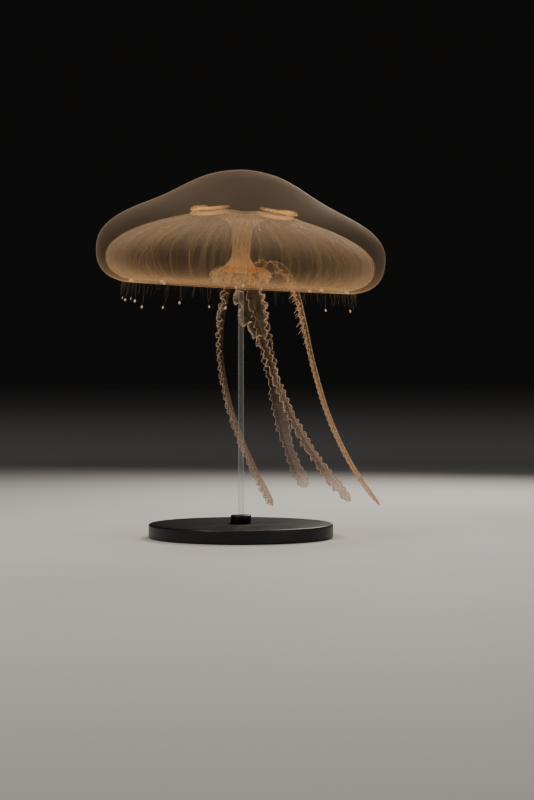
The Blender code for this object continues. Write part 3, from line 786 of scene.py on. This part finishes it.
def long_tentacles():
    """The forty long tentacles, where the solids have them."""
    chance = random.Random(12)
    runs = []
    for lobe in range(LOBES):
        for k in range(LONG_TO_A_LOBE):
            share = (k + 1.0) / (LONG_TO_A_LOBE + 1.0)
            angle = SPIN + (lobe + share) * math.tau / LOBES
            length = TENTACLE_SHORTEST + (TENTACLE_LONGEST - TENTACLE_SHORTEST) * chance.random() ** 1.5
            sway = chance.uniform(-0.2, 0.2)
            bead = BEAD_RADIUS * smooth_step(12.5 * MM, 17.0 * MM, length)
            runs.append(tentacle_run(angle, TENTACLE_RING, length, sway, LONG_THREAD, bead))
    return runs


def fine_tentacles():
    """Shorter, finer ones between them all round the rim."""
    chance = random.Random(31)
    runs = []
    for k in range(FINE_TENTACLES):
        angle = (k + chance.uniform(-0.4, 0.4)) * math.tau / FINE_TENTACLES
        length = (3.0 + 9.0 * chance.random() ** 2.2) * MM
        ring = TENTACLE_RING + chance.uniform(-2.0, 1.5) * MM
        runs.append(tentacle_run(angle, ring, length, chance.uniform(-0.4, 0.4), FINE_THREAD, 0.0))
    return runs


def sense_clubs():
    """A small rounded club in each notch of the rim."""
    runs = []
    for lobe in range(LOBES):
        angle = SPIN + lobe * math.tau / LOBES
        outward = np.array([math.cos(angle), math.sin(angle), 0.0])
        share = np.linspace(0.0, 1.0, CLUB_RINGS)
        radii = CLUB_RADIUS * np.sqrt(np.clip(1.0 - (2.0 * share - 1.0) ** 2, 0.002, 1.0))
        course = outward * (RIM_RADIUS + CLUB_INSET) - np.outer(share, outward) * CLUB_LENGTH
        course[:, 2] += LIP_MIDDLE
        runs.append((course, radii, np.ones(CLUB_RINGS)))
    return runs


def feeler_finish():
    """Pale amber threads, brighter towards the bead at the tip."""
    finish = Finish("feeler_tissue")
    bead = finish.share("bead")
    cloud = finish.noise(700.0, 2.0, 0.5)
    cream = [(0.78, 0.60, 0.44), (bead, (0.98, 0.87, 0.72))]
    opacity = 0.03 + bead ** 2.0 * 0.90 + (cloud - 0.5) * 0.10
    return flesh(finish, cream, finish.limit(opacity), glow=0.45, roughness=0.3)


feeler_material = feeler_finish()
feelers = []
for feeler_name, runs, sides in (("long_tentacles", long_tentacles(), TENTACLE_SIDES),
                                 ("fine_tentacles", fine_tentacles(), TENTACLE_SIDES),
                                 ("sense_clubs", sense_clubs(), CLUB_SIDES)):
    places, faces = tube_mesh([run[:2] for run in runs], sides)
    feeler = new_piece(feeler_name, places, faces, feeler_material, BELL_POSE)
    write_share(feeler, "bead", np.concatenate([np.repeat(run[2], sides) for run in runs]))
    feelers.append(feeler)
join_into(skin, feelers)

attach(skin, ROOT)
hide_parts("bell", "mouth_stalk")
for lobe in range(LOBES):
    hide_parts(f"bell_lobe_{lobe + 1}")
for arm_name in ARMS:
    for part in ("upper", "middle", "lower"):
        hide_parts(f"oral_arm_{arm_name}_{part}")


# --------------------------------------------------
# Canals: fine tubes of pale gold tissue, faint under the jelly, in the roof of the hollow.  They
# carry food from the stomach pouches out to a ring canal in the margin.  Eight run straight, and
# the eight between them branch.

CANALS = 16
CANAL_DEPTH = 0.7 * MM
CANAL_END = 1.80
CANAL_SIDES = 6
RING_CANAL_RADIUS = 0.40 * MM
RING_CANAL_STEPS = 241


def roof_point(out, angle):
    """A place just inside the jelly over the hollow; out is 0 at the axis and 1 at the shelf."""
    if out <= 1.0:
        radius = HOLLOW_RADIUS * math.sin(out * math.pi / 2.0)
        height = float(hollow_height(radius))
    else:
        turn = np.array([(out - 1.0) * math.pi / 2.0])
        radius, height = curl(turn, HOLLOW_RADIUS, HOLLOW_SHELF, LIP_TOP, INNER_CURL_POWER)[0]
    x = radius * math.cos(angle)
    y = radius * math.sin(angle)
    slope = min(out, 1.0) * math.pi / 2.0
    lift = CANAL_DEPTH * math.cos(slope)
    push = 1.0 + CANAL_DEPTH * math.sin(slope) / max(radius, CANAL_DEPTH)
    return np.array([x * push, y * push, height + lift + float(pouch_height(x, y)) * POUCH_SHOWS])


def canal(start, finish, first_angle, last_angle, thick, thin, chance):
    """One canal across the roof, wavering a little on its way."""
    steps = max(int(abs(finish - start) * 46), 6)
    share = np.linspace(0.0, 1.0, steps)
    phase = chance.uniform(0.0, math.tau)
    waver = math.radians(0.5) * np.sin(share * 7.0 + phase) * share * (1.0 - share) * 4.0
    angles = first_angle + (last_angle - first_angle) * smooth_step(0.0, 0.75, share) + waver
    course = [roof_point(start + (finish - start) * s, a) for s, a in zip(share, angles)]
    return course, thick + (thin - thick) * share


def all_canals():
    """Straight canals by turns with canals of two branches and four twigs, then the ring."""
    chance = random.Random(5)
    runs = []
    for k in range(CANALS):
        angle = SPIN + k * math.tau / CANALS
        if k % 2 == 1:
            runs.append(canal(0.34, CANAL_END, angle, angle, 0.26 * MM, 0.18 * MM, chance))
            continue
        start = 0.40 if k % 4 == 2 else 0.17
        runs.append(canal(start, CANAL_END, angle, angle, 0.28 * MM, 0.18 * MM, chance))
        for way in (-1.0, 1.0):
            split = chance.uniform(0.38, 0.46)
            branch = angle + way * math.radians(chance.uniform(6.4, 7.6))
            runs.append(canal(split, CANAL_END, angle, branch, 0.23 * MM, 0.16 * MM, chance))
            for turn in (-1.0, 1.0):
                fork = chance.uniform(0.58, 0.70)
                middle = angle + (branch - angle) * 0.9
                twig = middle + turn * math.radians(chance.uniform(2.6, 3.6))
                runs.append(canal(fork, CANAL_END, middle, twig, 0.18 * MM, 0.14 * MM, chance))
    ring = [roof_point(CANAL_END, a) for a in np.linspace(0.0, math.tau, RING_CANAL_STEPS)]
    runs.append((ring, np.full(RING_CANAL_STEPS, RING_CANAL_RADIUS)))
    return runs


def canal_finish():
    """Pale gold tubes, a little uneven."""
    finish = Finish("canal_gold")
    cloud = finish.noise(300.0, 3.0, 0.6)
    gold = [(0.90, 0.58, 0.30), (cloud, (1.0, 0.78, 0.50))]
    return flesh(finish, gold, finish.limit(cloud * 0.20), glow=0.5, wet=0.0)


places, faces = tube_mesh(all_canals(), CANAL_SIDES)
canals = new_piece("radial_canals", places, faces, canal_finish(), BELL_POSE)
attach(canals, ROOT)


# --------------------------------------------------
# Gonads: four horseshoes of folded orange tissue that lie under the stomach pouches, open towards
# the mouth stalk.  They are the brightest part of the animal, partly through a painted glow, and stay
# separate from the jelly.

GONAD_LOOP = 14.5 * MM
GONAD_TUBE = 3.0 * MM
GONAD_FLATNESS = 0.55
GONAD_SWEEP = math.radians(250.0)
GONAD_CLEARANCE = 3.8 * MM
GONAD_PLEATS = 26.0
GONAD_ROWS = 220
GONAD_SIDES = 48


def gonad_bed(x, y):
    """Height of a gonad's middle at a place, a little below the ceiling of its pouch."""
    drop = GONAD_TUBE * GONAD_FLATNESS + GONAD_CLEARANCE
    return hollow_height(np.hypot(x, y)) + pouch_height(x, y) - drop


def gonad_mesh(axis, chance):
    """A flattened horseshoe tube, pleated across and rounded at its ends."""
    share = np.linspace(0.0, 1.0, GONAD_ROWS)
    turn = axis + GONAD_SWEEP * (share - 0.5)
    x = POUCH_DISTANCE * math.cos(axis) + GONAD_LOOP * np.cos(turn)
    y = POUCH_DISTANCE * math.sin(axis) + GONAD_LOOP * np.sin(turn)
    course = np.stack([x, y, gonad_bed(x, y)], axis=1)
    ends = round_ends(GONAD_ROWS, 24.0)
    along = unit(np.gradient(course, axis=0))
    across = unit(np.cross(along, np.array([0.0, 0.0, 1.0])))
    upright = np.cross(across, along)
    pleats = math.tau * GONAD_PLEATS * share + wandering(chance, share, 6.0, 1.0)
    places = np.zeros((GONAD_ROWS, GONAD_SIDES, 3))
    for column in range(GONAD_SIDES):
        angle = column * math.tau / GONAD_SIDES
        fold = 1.0 - 0.13 * (0.5 + 0.5 * np.cos(pleats + 1.4 * math.sin(angle * 2.0)))
        fold = fold - 0.05 * np.cos(pleats * 2.3 + 3.0 * angle)
        radius = (GONAD_TUBE * ends * fold)[:, None]
        places[:, column] = course + radius * (across * math.cos(angle) + upright * math.sin(angle))
    bed = gonad_bed(places[:, :, 0], places[:, :, 1])
    places[:, :, 2] = bed + (places[:, :, 2] - bed) * GONAD_FLATNESS
    faces = grid_faces(GONAD_ROWS, GONAD_SIDES, 0, True) + end_caps(GONAD_ROWS, GONAD_SIDES)
    return places.reshape(-1, 3), faces


def gonad_finish():
    """Creamy orange with a painted glow of the same orange, fading towards the ends of the horseshoe."""
    finish = Finish("gonad_tissue")
    cloud = finish.noise(420.0, 4.0, 0.6)
    pits = finish.node("TexVoronoi", {"Vector": finish.place(), "Scale": 700.0})
    orange, through = finish.layered([(0.96, 0.50, 0.18), (cloud, (1.0, 0.68, 0.32))])
    bump = finish.bump(0.35, 0.3 * MM, pits)
    # The emission paints a glow of the tissue's own orange into it, so that it shines though it is no
    # lamp.
    lit = finish.node("BsdfPrincipled", {
        "Base Color": orange, "Roughness": 0.42, "IOR": 1.38, "Coat Weight": 0.4,
        "Coat Roughness": 0.15, "Normal": bump, "Emission Color": orange, "Emission Strength": 0.28})
    body = finish.node("MixShader", {0: 0.35, 1: lit, 2: through})
    opacity = 0.70 + (cloud - 0.5) * 0.9 - finish.edge_on() ** 1.3 * 0.78
    opacity = finish.limit(opacity - finish.share("end") * 0.46)
    return finish.show_part(opacity, body, (1.0, 1.0, 1.0))


gonad_material = gonad_finish()
for axis, gonad_name in zip(POUCHES, ("back_right", "back_left", "front_left", "front_right")):
    places, faces = gonad_mesh(axis, random.Random(gonad_name))
    gonad = new_piece("gonad_folds_" + gonad_name, places, faces, gonad_material, BELL_POSE)
    write_share(gonad, "end", np.repeat(np.linspace(-1.0, 1.0, GONAD_ROWS) ** 2, GONAD_SIDES))
    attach(gonad, ROOT)
    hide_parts("gonad_" + gonad_name)


# --------------------------------------------------
# Display stand: a round base of satin black acrylic with a softened edge, a small turned collar
# and a clear polished rod that carries the animal under its mouth.

BASE_RADIUS = 80.0 * MM
BASE_HEIGHT = 12.0 * MM
BASE_CHAMFER = 1.5 * MM
GAP = 0.3 * MM
ROD_RADIUS = 2.5 * MM
ROD_TOP = 228.5 * MM
COLLAR_RADIUS = 9.0 * MM
COLLAR_HEIGHT = 7.0 * MM
COLLAR_CHAMFER = 1.2 * MM
BASE_SIDES = 160
COLLAR_SIDES = 72
ROD_SIDES = 48


def rounded(radius, height, size, first, last, steps=6):
    """A rounded corner of a turned profile, about a middle and from one angle to another."""
    angles = [math.radians(a) for a in np.linspace(first, last, steps)]
    return [(radius + size * math.cos(a), height + size * math.sin(a)) for a in angles]


def turned_piece(name, profile, sides, ring, material):
    """A turned piece; a ring profile closes on itself, and others close at the axis."""
    places, faces = turned(profile, sides)
    if ring:
        last = (len(profile) - 1) * sides
        faces += [[last + i, last + (i + 1) % sides, (i + 1) % sides, i] for i in range(sides)]
    else:
        faces += end_caps(len(profile), sides)
    piece = new_piece(name, places, faces, material)
    sharp = piece.modifiers.new("Weighted", "WEIGHTED_NORMAL")
    sharp.keep_sharp = True
    return piece


def satin_finish():
    """Black acrylic with a fine satin grain and faint handling marks."""
    finish = Finish("satin_black")
    smear = finish.noise(22.0, 4.0, 0.6)
    grain = finish.noise(2600.0, 2.0, 0.5)
    colour = finish.mix_colour(smear, (0.018, 0.018, 0.020), (0.030, 0.030, 0.034))
    bump = finish.bump(0.12, 0.1 * MM, grain)
    return finish.show(finish.node("BsdfPrincipled", {
        "Base Color": colour, "Roughness": 0.26 + smear * 0.18, "IOR": 1.49, "Normal": bump}))


def rod_finish():
    """Clear acrylic, polished, with the slightest haze."""
    finish = Finish("clear_acrylic")
    haze = finish.noise(120.0, 3.0, 0.5)
    gloss = finish.node("BsdfPrincipled", {
        "Base Color": (0.86, 0.90, 0.92, 1.0), "Roughness": 0.04 + haze * 0.05, "IOR": 1.49})
    shows = finish.limit(0.06 + finish.edge_on(0.22) * 0.5 + haze * 0.03)
    return finish.show_part(shows, gloss, (0.97, 0.985, 0.99))


satin = satin_finish()
corner = BASE_RADIUS - BASE_CHAMFER
base_profile = [(corner, 0.0)]
base_profile += rounded(corner, BASE_CHAMFER, BASE_CHAMFER, -90.0, 0.0)[1:]
base_profile += rounded(corner, BASE_HEIGHT - BASE_CHAMFER, BASE_CHAMFER, 0.0, 90.0)
base = turned_piece("round_base", base_profile, BASE_SIDES, False, satin)
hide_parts("stand_base")

bore = ROD_RADIUS + GAP
collar_low = BASE_HEIGHT + GAP
collar_high = collar_low + COLLAR_HEIGHT
corner = COLLAR_RADIUS - COLLAR_CHAMFER
collar_profile = [(bore, collar_low), (COLLAR_RADIUS, collar_low)]
collar_profile += rounded(corner, collar_high - COLLAR_CHAMFER, COLLAR_CHAMFER, 0.0, 90.0)
collar_profile += [(bore, collar_high)]
collar = turned_piece("rod_collar", collar_profile, COLLAR_SIDES, True, satin)
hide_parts("stand_collar")

rod_profile = [(ROD_RADIUS, collar_low), (ROD_RADIUS, ROD_TOP)]
rod = turned_piece("clear_rod", rod_profile, ROD_SIDES, False, rod_finish())
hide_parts("stand_rod")

for piece, slot in ((base, "base_satin"), (collar, "base_satin"), (rod, "rod_acrylic")):
    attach(piece, ROOT)


# --------------------------------------------------
# Floor: a plain studio floor in matt paint, pale underfoot and charcoal where it sweeps up into a
# backdrop all round, with soft lamps and a level camera in front.

FLOOR_RADIUS = 1.65
FLOOR_SIDES = 128
SWEEP_RADIUS = 0.9
BACKDROP_HEIGHT = 3.4
CHARCOAL_FROM = 0.16
BELL_MIDDLE = Vector((0.0, 0.0, 0.24))


def floor_finish():
    """Matt pale grey paint on the floor, which turns to charcoal up the backdrop."""
    finish = Finish("pale_floor")
    shade = finish.noise(1.6, 2.0, 0.5)
    colour = finish.mix_colour(shade, (0.58, 0.57, 0.56), (0.62, 0.61, 0.60))
    colour = finish.mix_colour(finish.share("rise"), colour, (0.075, 0.073, 0.076))
    return finish.show(finish.node("BsdfPrincipled", {"Base Color": colour, "Roughness": 0.85}))


sweep = [(0.02, 0.0), (0.6, 0.0), (1.4, 0.0)]
sweep += rounded(FLOOR_RADIUS, SWEEP_RADIUS, SWEEP_RADIUS, -90.0, 0.0, 20)
sweep += [(FLOOR_RADIUS + SWEEP_RADIUS, BACKDROP_HEIGHT)]
floor_places, floor_faces = turned(sweep, FLOOR_SIDES)
floor_faces.append(list(reversed(range(FLOOR_SIDES))))
floor = new_piece("studio_floor", floor_places, floor_faces, floor_finish())
floor.data.flip_normals()
write_share(floor, "rise", smooth_step(0.0, CHARCOAL_FROM, floor_places[:, 2]))


def soft_lamp(name, place, size, power, colour):
    """A square soft box that points at the middle of the bell."""
    lamp = bpy.data.lights.new(name, "AREA")
    lamp.shape = "SQUARE"
    lamp.size = size
    lamp.energy = power
    lamp.color = colour
    holder = bpy.data.objects.new(name, lamp)
    holder.location = place
    holder.rotation_euler = (BELL_MIDDLE - holder.location).to_track_quat("-Z", "Y").to_euler()
    bpy.context.scene.collection.objects.link(holder)


soft_lamp("key", (-0.75, -0.70, 0.95), 0.5, 7.0, (1.0, 0.96, 0.90))
soft_lamp("fill", (0.95, -0.70, 0.45), 0.6, 2.2, (1.0, 0.96, 0.90))
soft_lamp("back", (0.35, 0.85, 0.75), 0.5, 7.0, (1.0, 0.93, 0.84))
soft_lamp("top", (0.0, 0.0, 1.25), 0.5, 4.0, (1.0, 0.98, 0.95))

room = bpy.data.worlds.new("room")
room.use_nodes = True
room_light = room.node_tree.nodes["Background"].inputs
room_light["Color"].default_value = (0.020, 0.020, 0.021, 1.0)
room_light["Strength"].default_value = 1.0
bpy.context.scene.world = room

VIEW_HEIGHT = 0.6944
SENSOR = 36.0
CAMERA_SIDE = 0.0226
CAMERA_DISTANCE = 1.45
CAMERA_HEIGHT = 0.119
camera_data = bpy.data.cameras.new("camera")
camera_data.sensor_width = SENSOR
camera_data.lens = SENSOR * CAMERA_DISTANCE / VIEW_HEIGHT
camera = bpy.data.objects.new("camera", camera_data)
camera.location = (CAMERA_SIDE, -CAMERA_DISTANCE, CAMERA_HEIGHT)
camera.rotation_euler = (math.pi / 2.0, 0.0, 0.0)
bpy.context.scene.collection.objects.link(camera)
bpy.context.scene.camera = camera
bpy.context.scene.view_settings.look = "AgX - Medium High Contrast"
bpy.context.scene.cycles.transparent_max_bounces = 32

bpy.context.view_layer.update()
